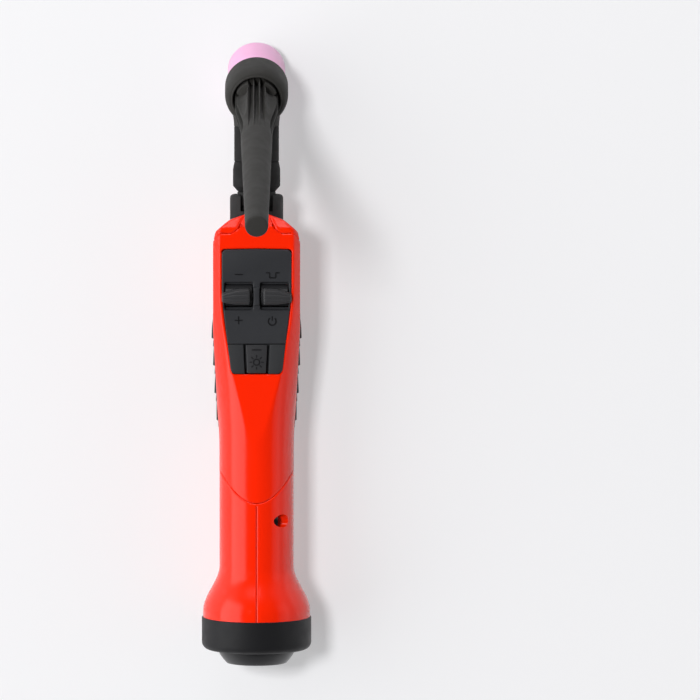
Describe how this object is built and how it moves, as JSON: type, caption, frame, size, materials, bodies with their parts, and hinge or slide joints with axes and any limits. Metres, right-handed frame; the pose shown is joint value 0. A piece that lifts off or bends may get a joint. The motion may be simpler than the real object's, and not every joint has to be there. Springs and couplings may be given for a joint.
{
  "type": "tig torch",
  "caption": "Hand-held arc welding torch with a long back cap, ceramic gas nozzle, rocker switches, light button and ball joint for the hose.",
  "frame": {"origin": "centre of the ball joint at the rear of the handle, on the handle's axis and on the axis of the hose bore", "axes": "+Y along the handle towards the head, +X to the right seen from the switch side, +Z out of the switch side; the back cap leans from +Z towards -Y"},
  "size_m": [0.0438, 0.2475, 0.1545],
  "materials": {
    "red_shell": "satin gloss moulded polyamide, red",
    "soft_grip": "matt moulded elastomer",
    "screw_steel": "black oxide steel",
    "collar_black": "matt moulded plastic",
    "ball_black": "smooth matt plastic",
    "neck_black": "moulded silicone rubber",
    "socket_black": "matt moulded plastic",
    "brass": "turned brass",
    "copper": "turned copper",
    "head_black": "moulded glass-filled plastic",
    "cap_black": "moulded phenolic plastic",
    "screen_steel": "fine woven steel",
    "tungsten": "ground tungsten",
    "gasket_white": "white fluoroplastic",
    "alumina": "smooth pink alumina",
    "seal_black": "matt nitrile rubber",
    "panel_black": "fine satin moulded plastic",
    "lever_black": "satin moulded plastic",
    "shaft_steel": "ground steel",
    "board_green": "glass fibre laminate",
    "switch_black": "moulded plastic",
    "header_white": "moulded nylon",
    "light_clear": "clear lens"
  },
  "bodies": {
    "handle": {"top_cover": "red_shell", "shell_left": "red_shell", "shell_right": "red_shell", "grip_left": "soft_grip", "grip_right": "soft_grip", "shell_screws": "screw_steel", "rear_collar": "collar_black", "neck_socket": "socket_black", "neck_plug": "socket_black", "plug_o_ring": "seal_black", "neck_collar": "neck_black", "neck_sleeve": "neck_black", "gas_tube": "brass", "coupling_body": "brass", "coupling_nut": "brass", "head_insulation": "head_black", "head_body": "brass", "collet_body": "copper", "gas_lens_screens": "screen_steel", "collet": "copper", "switch_panel": "panel_black", "lower_pad": "panel_black", "rocker_shaft": "shaft_steel", "circuit_board": "board_green", "push_switches": "switch_black", "board_connector": "header_white", "board_screws": "shaft_steel", "work_light": "light_clear"},
    "ball_seat": {"ball_seat_ring": "collar_black"},
    "hose_ball": {"hose_ball": "ball_black"},
    "rocker_left": {"rocker_left": "lever_black"},
    "rocker_right": {"rocker_right": "lever_black"},
    "light_button": {"light_button": "lever_black"},
    "cap_thread": {"cap_o_ring": "seal_black"},
    "back_cap": {"back_cap": "cap_black"},
    "nozzle_thread": {"nozzle_gasket": "gasket_white"},
    "gas_nozzle": {"gas_nozzle": "alumina"},
    "electrode": {"tungsten_electrode": "tungsten"}
  },
  "joints": [
    {"name": "left_rocker", "type": "hinge", "parent": "handle", "child": "rocker_left", "pos_m": [-0.007, 0.136, 0.0104], "axis": [1, 0, 0], "range_deg": [-10, 10], "stiffness_Nm_per_rad": 0.05},
    {"name": "right_rocker", "type": "hinge", "parent": "handle", "child": "rocker_right", "pos_m": [0.007, 0.136, 0.0104], "axis": [1, 0, 0], "range_deg": [-10, 10], "stiffness_Nm_per_rad": 0.05},
    {"name": "light_press", "type": "slide", "parent": "handle", "child": "light_button", "axis": [0, 0, -1], "range_m": [0, 0.0008], "stiffness_N_per_m": 400},
    {"name": "cap_travel", "type": "slide", "parent": "handle", "child": "cap_thread", "axis": [0, -0.342, 0.9397], "range_m": [0, 0.003]},
    {"name": "cap_turn", "type": "hinge", "parent": "cap_thread", "child": "back_cap", "pos_m": [0, 0.2173, 0], "axis": [0, -0.342, 0.9397], "range_deg": [0, 720.1]},
    {"name": "nozzle_travel", "type": "slide", "parent": "handle", "child": "nozzle_thread", "axis": [0, 0.342, -0.9397], "range_m": [0, 0.00225]},
    {"name": "nozzle_turn", "type": "hinge", "parent": "nozzle_thread", "child": "gas_nozzle", "pos_m": [0, 0.2173, 0], "axis": [0, 0.342, -0.9397], "range_deg": [0, 540.1]},
    {"name": "electrode_slide", "type": "slide", "parent": "handle", "child": "electrode", "axis": [0, 0.342, -0.9397], "range_m": [-0.004, 0.02]},
    {"name": "hose_swivel", "type": "hinge", "parent": "handle", "child": "ball_seat", "pos_m": [0, 0, 0], "axis": [0, 1, 0], "continuous": true},
    {"name": "hose_tilt", "type": "hinge", "parent": "ball_seat", "child": "hose_ball", "pos_m": [0, 0, 0], "axis": [1, 0, 0], "range_deg": [-15, 15]}
  ],
  "couplings": [
    {"joint": "cap_turn", "follows": "cap_travel", "rad_per_m": 4188.8},
    {"joint": "nozzle_turn", "follows": "nozzle_travel", "rad_per_m": 4188.8}
  ]
}
